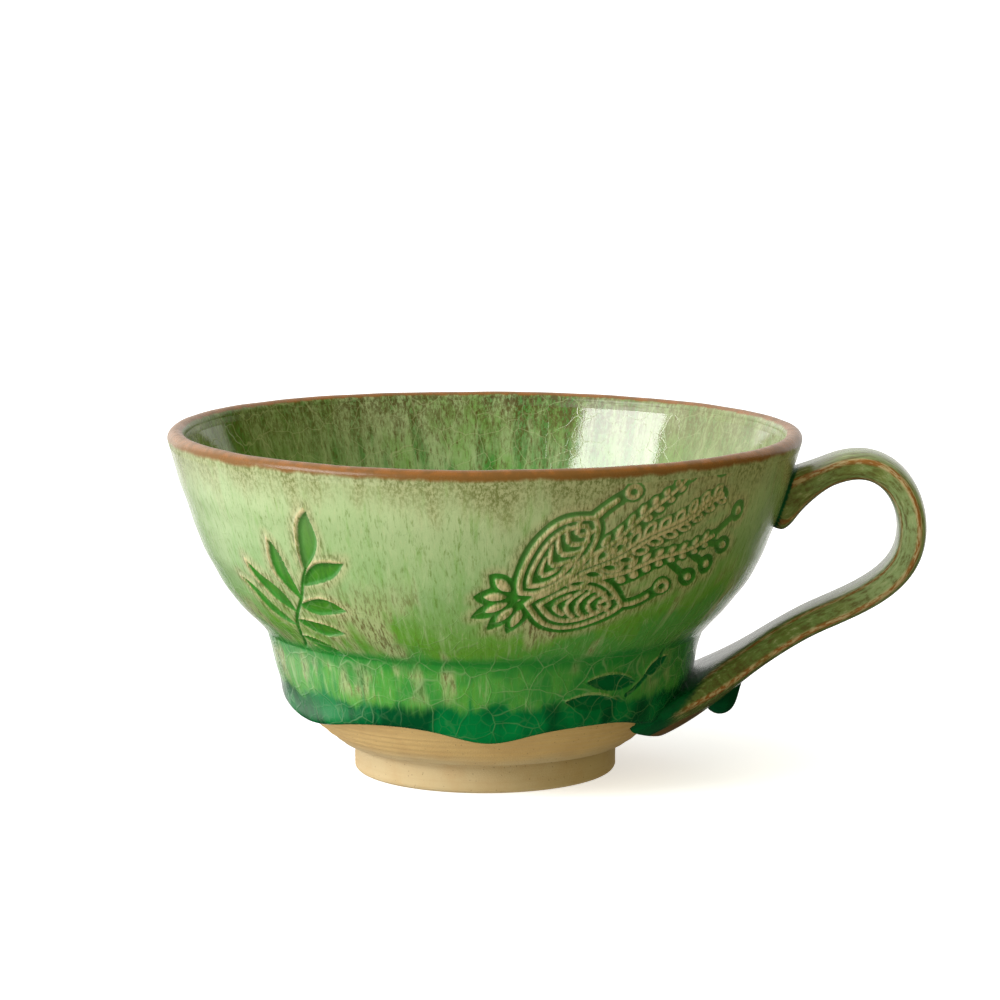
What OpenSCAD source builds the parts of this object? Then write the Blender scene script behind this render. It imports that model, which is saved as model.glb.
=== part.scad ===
// Glazed stoneware teacup: a flared bowl on a turned foot ring, with a pulled strap handle.
// The origin is the centre of the foot ring's bottom face, +Z is up and +X points to the handle.

/* [Bowl] */
// Outer diameter of the clay at the lip
rim_d = 126.6; // [100:0.2:160]
// Height of the clay lip above the table
cup_h = 69.4; // [55:0.2:90]
// Outer diameter of the clay at the waist crease
waist_d = 87.8; // [75:0.2:106]
// Height of the waist crease
waist_h = 29.6; // [24:0.2:36]
// Thickness of the clay wall
wall_t = 3.6; // [3:0.1:4.6]
// Thickness of the clay at the lip
lip_t = 2.2; // [1.6:0.1:3]
// Height of the inside floor above the table
floor_h = 10; // [8.5:0.1:14]
// Radius of the level middle of the inside floor
floor_r = 12; // [6:0.5:18]

/* [Foot] */
// Outer diameter of the foot ring
foot_d = 53.4; // [44:0.2:64]
// Height of the foot ring
foot_h = 6.2; // [5:0.1:7.6]
// Width of the foot ring's resting face, with its rounded edges
foot_land = 4.6; // [3.5:0.1:6]
// Depth of the recess inside the foot ring
foot_recess = 3.6; // [1:0.1:3.8]
// Radius on the foot ring's edges
foot_edge_r = 0.9; // [0.4:0.1:1.4]
// How far the base overhangs the foot ring
base_step = 2.4; // [1:0.1:4]

/* [Handle] */
// Height at which the handle's upper end meets the wall
handle_upper_h = 56.6; // [47:0.2:60]
// Height of the middle of the strap at the top of the arch
handle_arch_h = 63.3; // [60:0.2:72]
// Reach of the middle of the strap past the lip
handle_reach = 22.9; // [18:0.1:30]
// Height at which the strap stands furthest out
handle_back_h = 50.2; // [44:0.2:54]
// Height of the middle of the handle's lower end
handle_lower_h = 12; // [11:0.1:14]
// Width of the strap
handle_w = 12; // [8:0.1:14]
// Thickness of the strap
handle_t = 4.6; // [3.4:0.1:6]
// Width of the upper end where it is pressed on the wall
upper_end_w = 15; // [11:0.5:18]
// Thickness of the upper end where it is pressed on the wall
upper_end_t = 10.5; // [7:0.5:14]
// Width of the lower end where it is smeared on the wall
lower_end_w = 26; // [15:0.5:30]
// Thickness of the lower end where it is smeared on the wall
lower_end_t = 8; // [5:0.2:10]
// Thickness of the slip that joins the handle's ends to the wall
slip_t = 0.5; // [0.3:0.1:0.8]

/* [Glaze] */
// Thickness of the glaze
glaze_t = 0.7; // [0.5:0.05:1]
// Height of the lowest points of the glaze's edge
glaze_low_h = 12.6; // [11:0.1:15]
// Number of scallops in the glaze's lower edge
scallops = 6; // [4:1:8]
// Width of each scallop
scallop_w = 30; // [20:1:34]
// Rise of each scallop
scallop_h = 3.4; // [1:0.1:5]
// Turn of the first scallop from the handle, in degrees
scallop_turn = 7; // [-30:1:30]
// Height of the brown band round the lip
rim_band_h = 2.2; // [1:0.1:5]
// Radius of the glaze bead under the handle's lower end
drip_r = 3.3; // [2:0.1:4]

/* [Hidden] */
curve_steps = 16;
handle_steps = 9;
handle_sides = 20;
big = 200;

// ---- curves ----

function bezier(p, t) =
    pow(1 - t, 3) * p[0] + 3 * pow(1 - t, 2) * t * p[1] + 3 * (1 - t) * t * t * p[2] + t * t * t * p[3];
function curve(p, n) = [for (i = [0 : n]) bezier(p, i / n)];
function drop_first(list) = [for (i = [1 : len(list) - 1]) list[i]];
function reverse(list) = [for (i = [len(list) - 1 : -1 : 0]) list[i]];
function slice(list, a, b) = [for (i = [a : b]) list[i]];
function unit(v) = v / norm(v);
// The direction to the right of travel at point i of a path
function right_of(p, i) =
    let (d = unit(p[min(i + 1, len(p) - 1)] - p[max(i - 1, 0)])) [d.y, -d.x];
function parallel(p, distance) = [for (i = [0 : len(p) - 1]) p[i] + distance * right_of(p, i)];
function ease(x) = let (c = max(0, min(1, x))) c * c * (3 - 2 * c);

// ---- the bowl's clay, as [radius, height] ----

rim_r = rim_d / 2;
foot_r = foot_d / 2;
base_r = foot_r + base_step;
waist = [waist_d / 2, waist_h];
lip = [rim_r, cup_h - lip_t / 2];
// The turned base widens fast, then rises almost straight to the waist
base_rise = waist_h - foot_h;
base_curve = curve([
    [base_r, foot_h],
    [waist.x - 1.4, foot_h + 0.41 * base_rise],
    [waist.x - 2.9, foot_h + 0.61 * base_rise],
    waist
], curve_steps);
// The flare leaves the crease at a slope and ends nearly upright at the lip
flare = lip - waist;
flare_curve = curve([
    waist,
    waist + [0.37 * flare.x, 0.216 * flare.y],
    waist + [0.588 * flare.x, 0.222 * flare.y],
    lip
], curve_steps);
outside = concat(base_curve, drop_first(flare_curve));
function outside_r(z) = lookup(z, [for (p = outside) [p.y, p.x]]);

// The inside runs parallel to the flare, thins to the lip, then sweeps down to the floor
inner_flare = [
    for (i = [0 : curve_steps])
        flare_curve[i] - (wall_t + (lip_t - wall_t) * pow(i / curve_steps, 3)) * right_of(flare_curve, i)
];
well_top = inner_flare[0];
well_slope = unit(inner_flare[1] - inner_flare[0]);
well_curve = curve([
    well_top,
    well_top - 9 * well_slope,
    [well_top.x - 8, floor_h],
    [floor_r, floor_h]
], curve_steps);
lip_centre = lip - [lip_t / 2, 0];
lip_arc = [for (a = [0 : 20 : 180]) lip_centre + lip_t / 2 * [cos(a), sin(a)]];
inner_down = concat(reverse([for (p = inner_flare) if (p.y < lip.y - 0.6) p]), drop_first(well_curve));
function inside_r(z) = lookup(z, [for (p = reverse(inner_down)) [p.y, p.x]]);

bowl_outline = concat([[0, foot_h]], outside, drop_first(lip_arc), inner_down, [[0, floor_h]]);

// The clay's skin from the glaze's lower edge, over the lip and down to the middle of the floor
band_z = cup_h - rim_band_h;
skin_below = concat(
    [[outside_r(glaze_low_h), glaze_low_h]],
    [for (p = outside) if (p.y > glaze_low_h + 0.1 && p.y < band_z - 0.1) p]
);
skin_band = concat(
    [[outside_r(band_z), band_z]],
    [for (p = outside) if (p.y > band_z + 0.1 && p.y < lip.y - 0.1) p],
    lip_arc,
    [for (p = inner_down) if (p.y > band_z + 0.1) p],
    [[inside_r(band_z), band_z]]
);
skin_inside = concat([for (p = inner_down) if (p.y < band_z - 0.1) p], [[0, floor_h]]);
skin = concat(skin_below, skin_band, skin_inside);
glazed_skin = parallel(skin, glaze_t);
band_first = len(skin_below);
band_last = band_first + len(skin_band) - 1;

module skin_layer(a, b) {
    rotate_extrude($fn = 120)
        polygon(concat(slice(skin, a, b), reverse(slice(glazed_skin, a, b))));
}

// The bowl as a filled solid, grown outwards by a layer's thickness
module filled_bowl(layer) {
    grown = parallel(outside, layer);
    rotate_extrude($fn = 120)
        polygon(concat([[0, foot_h - layer]], [[grown[0].x, foot_h - layer]], grown, [[0, grown[len(grown) - 1].y]]));
}

// ---- the handle's path, as [x, z] ----

upper_root = [outside_r(handle_upper_h), handle_upper_h];
back_x = rim_r + handle_reach;
arch = [rim_r + 0.53 * handle_reach, handle_arch_h];
lower_root = [outside_r(handle_lower_h) - 1, handle_lower_h];
elbow = [back_x - 18.3, handle_back_h - 18];
handle_path = concat(
    curve([upper_root - [8, 4.4], upper_root + [2, 0.6], arch - [6.8, 0], arch], handle_steps),
    drop_first(curve([arch, arch + [6.6, 0], [back_x, handle_back_h + 6.6], [back_x, handle_back_h]], handle_steps)),
    drop_first(curve([[back_x, handle_back_h], [back_x, handle_back_h - 10], elbow + [9.2, 4.2], elbow], handle_steps)),
    drop_first(curve([elbow, elbow - [10.8, 5], lower_root + [12.2, 5.8], lower_root], handle_steps))
);
handle_last = len(handle_path) - 1;

// Both ends widen and thicken where they are pressed on the wall
function end_blend(share, length) = ease(1 - share / length);
function upper_blend(i) = end_blend(i / handle_last, 0.18);
function lower_blend(i, length) = end_blend(1 - i / handle_last, length);
function strap_w(i) =
    handle_w + (upper_end_w - handle_w) * upper_blend(i) + (lower_end_w - handle_w) * lower_blend(i, 0.22);
function strap_t(i) =
    handle_t + (upper_end_t - handle_t) * upper_blend(i) + (lower_end_t - handle_t) * lower_blend(i, 0.16);

// A round stretched towards its corners
function squared(v) = sign(v) * pow(abs(v), 0.68);
// One section of the strap: a flat bar with soft corners, across the path, bent round the wall at the lower end
function strap_ring(i, layer) =
    let (p = handle_path[i], n = right_of(handle_path, i), w = strap_w(i) / 2 + layer, t = strap_t(i) / 2 + layer)
    let (bend = lower_blend(i, 0.22) / (2 * lower_root.x))
    [
        for (k = [0 : handle_sides - 1])
            let (a = 360 * k / handle_sides, y = w * squared(cos(a)), off = t * squared(sin(a)))
            [p.x + n.x * off - bend * y * y, y, p.y + n.y * off]
    ];

// The strap as a closed solid, grown all round by a layer that stops short of the bare lower edge
module strap(layer) {
    last_p = handle_path[handle_last];
    back = unit(handle_path[handle_last - 1] - last_p) * layer / 2;
    rings = [
        for (i = [0 : handle_last])
            [for (p = strap_ring(i, layer)) p + (i < handle_last ? [0, 0, 0] : [back.x, 0, back.y])]
    ];
    first_p = handle_path[0];
    points = concat([[first_p.x, 0, first_p.y]], [for (r = rings) each r], [[last_p.x + back.x, 0, last_p.y + back.y]]);
    last_ring = 1 + handle_last * handle_sides;
    sides = [for (i = [0 : handle_last - 1], k = [0 : handle_sides - 1])
        let (j = (k + 1) % handle_sides, a = 1 + i * handle_sides, b = a + handle_sides)
        each [[a + k, a + j, b + k], [a + j, b + j, b + k]]
    ];
    start_cap = [for (k = [0 : handle_sides - 1]) [0, 1 + (k + 1) % handle_sides, 1 + k]];
    end_cap = [
        for (k = [0 : handle_sides - 1])
            [len(points) - 1, last_ring + k, last_ring + (k + 1) % handle_sides]
    ];
    polyhedron(points, concat(start_cap, sides, end_cap));
}

// ---- the pieces ----

module bowl() {
    color("tan") rotate_extrude($fn = 120) polygon(bowl_outline);
}

module foot_ring() {
    inner_r = foot_r - foot_land;
    edge = [for (a = [0 : 30 : 90]) foot_edge_r * [sin(a), -cos(a)]];
    outer_edge = [for (e = edge) [foot_r - foot_edge_r, foot_edge_r] + e];
    inner_edge = [for (e = reverse(edge)) [inner_r + foot_edge_r - e.x, foot_edge_r + e.y]];
    color("wheat") rotate_extrude($fn = 120) polygon(concat(
        inner_edge,
        outer_edge,
        [[foot_r, foot_h], [0, foot_h], [0, foot_recess], [inner_r, foot_recess]]
    ));
}

module handle() {
    color("peru") difference() {
        strap(0);
        filled_bowl(slip_t);
    }
}

module slip_layer() {
    intersection() {
        difference() {
            filled_bowl(slip_t);
            filled_bowl(0);
        }
        strap(0);
    }
}

module upper_slip() {
    color("sienna") intersection() {
        slip_layer();
        translate([-big / 2, -big / 2, waist_h]) cube(big);
    }
}

module lower_slip() {
    color("sienna") intersection() {
        slip_layer();
        translate([-big / 2, -big / 2, waist_h - big]) cube(big);
    }
}

module outer_glaze() {
    scallop_r = (scallop_w * scallop_w / 4 + scallop_h * scallop_h) / (2 * scallop_h);
    color("mediumseagreen") difference() {
        skin_layer(0, band_first);
        for (i = [0 : scallops - 1])
            rotate([0, 0, scallop_turn + 360 * i / scallops])
                translate([foot_r / 2, 0, glaze_low_h + scallop_h - scallop_r])
                    rotate([0, 90, 0]) cylinder(r = scallop_r, h = rim_r, $fn = 120);
        strap(glaze_t);
    }
}

module inner_glaze() {
    color("seagreen") skin_layer(band_last, len(skin) - 1);
}

module rim_band() {
    color("saddlebrown") skin_layer(band_first, band_last);
}

module handle_glaze() {
    color("olivedrab") difference() {
        strap(glaze_t);
        strap(0);
        filled_bowl(0);
    }
}

module glaze_drip() {
    hang = lower_root + [12.9, 2.7];
    color("darkgreen") difference() {
        hull() {
            translate([hang.x, 0, hang.y]) sphere(drip_r, $fn = 28);
            translate([hang.x + 4.5, 0, hang.y + 5.5]) sphere(drip_r / 3, $fn = 16);
        }
        strap(glaze_t);
        filled_bowl(glaze_t);
    }
}

bowl();
foot_ring();
handle();
upper_slip();
lower_slip();
outer_glaze();
inner_glaze();
rim_band();
handle_glaze();
glaze_drip();
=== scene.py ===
"""Looks of a glazed stoneware teacup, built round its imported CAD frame.

Meshes are worked out in millimetres and written in metres. Azimuth 0 is at the handle, on +X.
"""
import math

import bpy
import numpy as np
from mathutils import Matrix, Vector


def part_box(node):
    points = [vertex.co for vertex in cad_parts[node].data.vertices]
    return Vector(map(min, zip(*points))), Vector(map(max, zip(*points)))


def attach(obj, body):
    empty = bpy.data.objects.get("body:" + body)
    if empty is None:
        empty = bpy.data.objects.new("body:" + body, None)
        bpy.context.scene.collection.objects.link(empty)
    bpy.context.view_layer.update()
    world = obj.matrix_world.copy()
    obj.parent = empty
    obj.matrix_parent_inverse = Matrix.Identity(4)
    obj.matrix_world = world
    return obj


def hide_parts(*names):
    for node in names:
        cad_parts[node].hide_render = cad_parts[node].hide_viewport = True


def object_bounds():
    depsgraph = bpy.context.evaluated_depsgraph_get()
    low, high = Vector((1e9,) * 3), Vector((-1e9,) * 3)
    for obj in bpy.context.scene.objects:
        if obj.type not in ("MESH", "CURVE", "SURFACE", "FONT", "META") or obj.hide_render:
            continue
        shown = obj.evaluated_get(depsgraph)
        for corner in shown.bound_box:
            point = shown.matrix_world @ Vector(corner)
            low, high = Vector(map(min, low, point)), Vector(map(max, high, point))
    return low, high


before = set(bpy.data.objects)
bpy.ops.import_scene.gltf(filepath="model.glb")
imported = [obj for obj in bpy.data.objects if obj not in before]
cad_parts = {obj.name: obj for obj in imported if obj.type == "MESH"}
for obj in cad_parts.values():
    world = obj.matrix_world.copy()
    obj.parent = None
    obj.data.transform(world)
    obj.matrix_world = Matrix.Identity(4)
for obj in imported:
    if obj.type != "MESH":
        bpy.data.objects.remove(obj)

CAD_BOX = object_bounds()

bl_info = {
    "name": "Stoneware Teacup",
    "version": (1, 0, 0),
    "blender": (4, 5, 0),
    "location": "View3D > Sidebar > Teacup",
    "description": "Builds a glazed stoneware teacup with carved leaf relief and a strap handle",
    "category": "Add Mesh",
}

MM = 0.001


# ---------------------------------------------------------------- sizes from the frame

def node_reach(node):
    """Largest distance of a CAD node's vertices from the cup's axis, in metres."""
    low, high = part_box(node)
    return max(abs(low.x), abs(low.y), high.x, high.y)


CUP_TOP = CAD_BOX[1].z
LIP_REACH = node_reach("bowl")
FOOT_REACH = node_reach("foot_ring")
FOOT_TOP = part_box("foot_ring")[1].z
HANDLE_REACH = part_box("handle")[1].x
HANDLE_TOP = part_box("handle")[1].z
GLAZE_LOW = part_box("outer_glaze")[0].z
GLAZE_THICK = node_reach("rim_band") - LIP_REACH
BAND_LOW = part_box("rim_band")[0].z
FLOOR_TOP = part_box("inner_glaze")[0].z


def length(name, default, description, low=0.0):
    """A length property, in metres."""
    return bpy.props.FloatProperty(
        name=name, description=description, default=default, min=low, precision=5, unit="LENGTH"
    )


def colour(name, default, description):
    """A linear colour property."""
    return bpy.props.FloatVectorProperty(
        name=name, description=description, default=default, min=0.0, max=1.0, size=3, subtype="COLOR"
    )


def turning(name, degrees, description):
    """An angle property, given in degrees."""
    return bpy.props.FloatProperty(
        name=name, description=description, default=math.radians(degrees), subtype="ANGLE"
    )


class TeacupBowlSizes(bpy.types.PropertyGroup):
    """Sizes of the thrown bowl and its foot."""

    lip_radius: length("Lip radius", LIP_REACH, "Outer radius of the clay at the lip")
    clay_height: length("Clay height", CUP_TOP - GLAZE_THICK, "Height of the clay lip")
    lip_thickness: length("Lip thickness", 0.0022, "Thickness of the clay at the lip")
    wall: length("Wall", 0.0036, "Thickness of the clay wall")
    waist_radius: length("Waist radius", 0.0439, "Outer radius of the clay at the waist crease")
    waist_height: length("Waist height", 0.0296, "Height of the waist crease")
    floor_height: length("Floor height", FLOOR_TOP, "Height of the inside floor's clay")
    floor_radius: length("Floor radius", 0.012, "Radius of the level middle of the inside floor")
    foot_radius: length("Foot radius", FOOT_REACH, "Outer radius of the foot ring")
    foot_height: length("Foot height", FOOT_TOP, "Height of the foot ring")
    foot_land: length("Foot land", 0.0046, "Width of the foot ring's resting face")
    foot_recess: length("Foot recess", 0.0036, "Depth of the recess inside the foot ring")
    base_step: length("Base step", 0.0024, "How far the base overhangs the foot ring")


class TeacupGlazeSizes(bpy.types.PropertyGroup):
    """Sizes of the glaze coats and of the carved relief."""

    thickness: length("Thickness", GLAZE_THICK, "Usual thickness of the glaze")
    edge_height: length("Edge height", GLAZE_LOW, "Height of the lowest drips of the glaze edge")
    edge_roll: length("Edge roll", 0.0011, "Extra thickness of the rolled lower edge")
    band_height: length("Band height", BAND_LOW, "Height of the lower edge of the brown lip")
    carve_depth: length("Carve depth", 0.00042, "Depth of the carved leaves and lines")
    relief_rise: length("Relief rise", 0.00032, "Height of the raised bands round the carving")
    throwing_ring: length("Throwing ring", 0.00007, "Height of the throwing rings")


class TeacupHandleSizes(bpy.types.PropertyGroup):
    """Sizes of the pulled strap handle."""

    reach: length("Reach", HANDLE_REACH, "Outermost point of the clay strap")
    top: length("Top", HANDLE_TOP, "Highest point of the clay strap")
    width: length("Width", 0.012, "Width of the strap")
    thickness: length("Thickness", 0.0046, "Thickness of the strap")
    upper_height: length("Upper height", 0.0566, "Height at which the upper end meets the wall")
    back_height: length("Back height", 0.0502, "Height at which the strap stands furthest out")
    lower_height: length("Lower height", 0.012, "Height of the middle of the lower end")
    upper_width: length("Upper width", 0.015, "Width of the upper end on the wall")
    upper_thickness: length("Upper thickness", 0.0105, "Thickness of the upper end on the wall")
    lower_width: length("Lower width", 0.026, "Width of the lower end on the wall")
    lower_thickness: length("Lower thickness", 0.008, "Thickness of the lower end on the wall")


class TeacupColours(bpy.types.PropertyGroup):
    """Colours of the clay and the glaze."""

    foot_clay: colour("Foot clay", (0.44, 0.335, 0.17), "Bare sandy clay of the foot ring")
    base_clay: colour("Base clay", (0.52, 0.345, 0.13), "Flashed orange clay above the foot ring")
    pale_green: colour("Pale green", (0.335, 0.41, 0.20), "Glaze high on the wall")
    mid_green: colour("Mid green", (0.205, 0.325, 0.12), "Glaze half way up the wall")
    low_green: colour("Low green", (0.095, 0.255, 0.022), "Glaze low on the flare")
    waist_green: colour("Waist green", (0.014, 0.165, 0.020), "Glaze pooled in the waist crease")
    band_green: colour("Band green", (0.060, 0.24, 0.035), "Glaze on the band below the waist")
    pool_green: colour("Pool green", (0.0006, 0.135, 0.028), "Thick glaze at the lower edge")
    deep_green: colour("Deep green", (0.0004, 0.034, 0.009), "Darkest drips of thick glaze")
    carved_green: colour("Carved green", (0.045, 0.17, 0.012), "Glaze pooled in the carving")
    cream: colour("Cream", (0.45, 0.37, 0.19), "Thin glaze on raised edges")
    lip_brown: colour("Lip brown", (0.225, 0.09, 0.019), "Iron-brown lip")
    speck_brown: colour("Speck brown", (0.075, 0.05, 0.010), "Brown specks and streaks")
    handle_olive: colour("Handle olive", (0.125, 0.155, 0.036), "Glaze on the strap")


class TeacupStageSizes(bpy.types.PropertyGroup):
    """The camera and the floor."""

    distance: length("Distance", 0.7129, "Level distance from the cup's axis to the camera")
    height: length("Height", 0.1592, "Height of the camera above the floor")
    swing: turning("Swing", 4.0, "Angle of the camera round the cup")
    tilt: turning("Tilt", 8.317, "Downward tilt of the camera")
    pan: turning("Pan", 0.247, "Turn of the camera past the cup's axis")
    lens: bpy.props.FloatProperty(
        name="Lens", description="Focal length in millimetres", default=127.61, min=10.0
    )
    floor_size: length("Floor size", 400.0, "Width of the floor")
    floor_colour: colour("Floor colour", (0.90, 0.90, 0.895), "Pale floor")


# ---------------------------------------------------------------- curves and meshes

def bezier(points, steps):
    """Points along a cubic curve, ends included."""
    p = np.array(points, float)
    t = np.linspace(0, 1, steps + 1)[:, None]
    return (1 - t) ** 3 * p[0] + 3 * (1 - t) ** 2 * t * p[1] + 3 * (1 - t) * t * t * p[2] + t ** 3 * p[3]


def chain(*curves):
    """Curves that share their end points, joined into one path."""
    return np.concatenate([curves[0]] + [c[1:] for c in curves[1:]])


def run(path):
    """Length along a path at each of its points."""
    return np.concatenate([[0], np.cumsum(np.linalg.norm(np.diff(path, axis=0), axis=1))])


def right_of(path):
    """Unit vectors to the right of travel, for a path in a plane."""
    d = np.gradient(path, axis=0)
    d = d / np.linalg.norm(d, axis=1)[:, None]
    return np.stack([d[:, 1], -d[:, 0]], axis=1)


def along(path, s):
    """Points of a path at lengths s."""
    at = run(path)
    return np.stack([np.interp(s, at, path[:, k]) for k in range(path.shape[1])], axis=-1)


def ease(x):
    """A smooth step from 0 to 1."""
    x = np.clip(x, 0, 1)
    return x * x * (3 - 2 * x)


def bump(x, centre, width):
    """A smooth hill of height 1."""
    return np.exp(-(((x - centre) / width) ** 2))


def turn_between(a, b):
    """The turn from b to a in degrees, from -180 to 180."""
    return (a - b + 180) % 360 - 180


def hand_made(points):
    """The small unevenness of a cup thrown by hand: the lip dips and the wall isn't quite round."""
    widest, tallest = 64.0, 70.0
    x, y, z = points[..., 0], points[..., 1], points[..., 2]
    angle = np.arctan2(y, x)
    reach = np.minimum(np.hypot(x, y), widest)
    rim = np.clip(z / tallest, 0, 1) ** 2 * (reach / widest)
    out = 0.16 * np.cos(2 * angle - 0.2) + 0.10 * np.cos(3 * angle + 1.1)
    lift = 0.34 * np.cos(angle - 2.5) + 0.14 * np.cos(2 * angle + 0.4) + 0.05 * np.cos(5 * angle)
    grow = 1 + out * rim / widest
    return np.stack([x * grow, y * grow, z + (lift - 0.12) * rim], axis=-1)


def write_mesh(name, vertices, faces, layers=None):
    """A new object from vertices in millimetres, arrays of faces, and per-point number layers."""
    mesh = bpy.data.meshes.new(name)
    sizes = np.concatenate([np.full(len(f), f.shape[1], np.int32) for f in faces])
    corners = np.concatenate([f.ravel() for f in faces]).astype(np.int32)
    mesh.vertices.add(len(vertices))
    mesh.vertices.foreach_set("co", (np.asarray(vertices) * MM).astype(np.float32).ravel())
    mesh.loops.add(len(corners))
    mesh.loops.foreach_set("vertex_index", corners)
    mesh.polygons.add(len(sizes))
    mesh.polygons.foreach_set("loop_start", (np.cumsum(sizes) - sizes).astype(np.int32))
    for layer, values in (layers or {}).items():
        attribute = mesh.attributes.new(layer, "FLOAT", "POINT")
        attribute.data.foreach_set("value", np.asarray(values, np.float32).ravel())
    mesh.update(calc_edges=True)
    mesh.validate()
    mesh.shade_smooth()
    mesh.set_sharp_from_angle(angle=math.radians(50))
    piece = bpy.data.objects.new(name, mesh)
    bpy.context.scene.collection.objects.link(piece)
    return piece


def wrap_rows(count, columns, closed):
    """Quads between rows of points that wrap round. A closed skin also joins its last row to its first."""
    a = np.arange(count if closed else count - 1)[:, None] * columns
    b = (a + columns) % (count * columns)
    k = np.arange(columns)[None, :]
    j = (k + 1) % columns
    return np.stack(np.broadcast_arrays(a + k, a + j, b + j, b + k), -1).reshape(-1, 4)


def round_axis(angle, r, z):
    """Points at azimuths in radians, radii and heights."""
    return np.stack([r * np.cos(angle), r * np.sin(angle), z], axis=-1)


def capped(rows, ends, way):
    """Points and faces of rows that wrap round, with a fan to a point at each end. Way -1 turns the faces."""
    count, columns = rows.shape[:2]
    points = np.concatenate([rows.reshape(-1, 3), ends])
    first, top = count * columns, (count - 1) * columns
    k = np.arange(columns)
    j = (k + 1) % columns
    start = np.stack([np.full(columns, first), j, k], axis=1)
    end = np.stack([top + k, top + j, np.full(columns, first + 1)], axis=1)
    return points, [f[:, ::way] for f in (wrap_rows(count, columns, False), start, end)]


def turned(name, outline, columns=256, texture=None):
    """A closed turned piece. Its outline, as radius and height, starts and ends on the axis."""
    outline = np.asarray(outline, float)
    angle = np.linspace(0, 2 * math.pi, columns, endpoint=False)
    ring = outline[1:-1]
    r = np.repeat(ring[:, :1], columns, axis=1)
    z = np.repeat(ring[:, 1:], columns, axis=1)
    if texture is not None:
        side = right_of(outline)[1:-1]
        off = texture(ring, angle)
        r, z = r + side[:, :1] * off, z + side[:, 1:] * off
    ends = [[0, 0, outline[0, 1]], [0, 0, outline[-1, 1]]]
    points, faces = capped(round_axis(angle, r, z), ends, 1)
    return write_mesh(name, hand_made(points), faces)


def looped(name, rows, layers):
    """A closed coat round the axis from rows of points, front and back."""
    quads = wrap_rows(*rows.shape[:2], True)
    return write_mesh(name, hand_made(rows.reshape(-1, 3)), [quads], layers)


def pulled(name, rows, layers):
    """A closed strap or bead from rows of points along it."""
    points, faces = capped(rows, [rows[0].mean(0), rows[-1].mean(0)], -1)
    layers = {key: np.concatenate([value.ravel(), [0, 0]]) for key, value in layers.items()}
    return write_mesh(name, hand_made(points), faces, layers)


# ---------------------------------------------------------------- the bowl's outline, in millimetres

def clay_outside(b, steps=90):
    """The clay's outer line from the foot to the lip, as radius and height."""
    waist = np.array([b.waist_radius, b.waist_height]) / MM
    lip = np.array([b.lip_radius, b.clay_height - b.lip_thickness / 2]) / MM
    base = np.array([b.foot_radius + b.base_step, b.foot_height]) / MM
    rise = waist[1] - base[1]
    flare = lip - waist
    belly = [[waist[0] - 1.4, base[1] + 0.41 * rise], [waist[0] - 2.9, base[1] + 0.61 * rise]]
    lower = bezier([base, *belly, waist], steps)
    upper = bezier([waist, waist + flare * [0.37, 0.216], waist + flare * [0.588, 0.222], lip], 2 * steps)
    return lower, upper


def clay_inside(b, upper, steps=60):
    """The clay's inner line from the lip down to the middle of the floor."""
    wall, thin = b.wall / MM, b.lip_thickness / MM
    share = np.linspace(0, 1, len(upper))[:, None]
    flare = upper - (wall + (thin - wall) * share ** 3) * right_of(upper)
    slope = (flare[3] - flare[0]) / np.linalg.norm(flare[3] - flare[0])
    floor = b.floor_height / MM
    well = bezier(
        [flare[0], flare[0] - 9 * slope, [flare[0][0] - 8, floor], [b.floor_radius / MM, floor]], steps
    )
    inner = flare[::-1]
    inner = inner[inner[:, 1] < (b.clay_height - b.lip_thickness / 2) / MM - 0.6]
    return chain(inner, well)


def lip_arc(b, steps=14):
    """The half round of clay over the lip, from outside to inside."""
    half = b.lip_thickness / 2 / MM
    centre = np.array([b.lip_radius / MM - half, b.clay_height / MM - half])
    a = np.linspace(0, math.pi, steps + 1)
    return centre + half * np.stack([np.cos(a), np.sin(a)], axis=1)


# azimuth in degrees, drop in millimetres and half width in degrees of each drip of the outer glaze
GLAZE_DRIPS = [
    (-146, 2.6, 21), (-85, 2.3, 13), (-30, 2.2, 12), (24, 1.8, 12),
    (68, 2.6, 15), (112, 1.4, 11), (158, 1.6, 13),
]


def glaze_edge(angle, g):
    """Height of the outer glaze's wavy lower edge by azimuth in degrees, and how far each spot is a drip."""
    level = g.edge_height / MM + 3.9 + 0.35 * np.cos(np.radians(3 * angle + 40))
    weight = np.zeros(len(angle))
    for centre, drop, width in GLAZE_DRIPS:
        hill = bump(turn_between(angle, centre), 0, width)
        level, weight = level - drop * hill, np.maximum(weight, hill)
    return level, weight


# ---------------------------------------------------------------- the carved relief, in millimetres

FAR = 1e3


def leaf_distance(u, v, base, tip, width):
    """Signed distance to a pointed leaf, negative inside. Width is its half width."""
    base, tip = np.array(base, float), np.array(tip, float)
    half = np.linalg.norm(tip - base) / 2
    way = (tip - base) / (2 * half)
    du, dv = u - (base[0] + tip[0]) / 2, v - (base[1] + tip[1]) / 2
    t, n = np.abs(du * way[0] + dv * way[1]), np.abs(dv * way[0] - du * way[1])
    d = (half * half - width * width) / (2 * width)
    at_tip = half * n < d * (t - half)
    return np.where(at_tip, np.hypot(n, t - half), np.hypot(n + d, t) - d - width)


def stroke_distance(u, v, points, half, end_half=None):
    """Signed distance to a brush stroke along points, which may narrow to its end."""
    points = np.asarray(points, float)
    end_half = half if end_half is None else end_half
    at = run(points) / run(points)[-1]
    best = np.full(np.shape(u), FAR)
    for i in range(len(points) - 1):
        p, q = points[i], points[i + 1]
        d = q - p
        t = np.clip(((u - p[0]) * d[0] + (v - p[1]) * d[1]) / (d @ d), 0, 1)
        w = half + (end_half - half) * (at[i] + t * (at[i + 1] - at[i]))
        best = np.minimum(best, np.hypot(u - p[0] - t * d[0], v - p[1] - t * d[1]) - w)
    return best


def disc_distance(u, v, centre, radius):
    """Signed distance to a disc."""
    return np.hypot(u - centre[0], v - centre[1]) - radius


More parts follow.
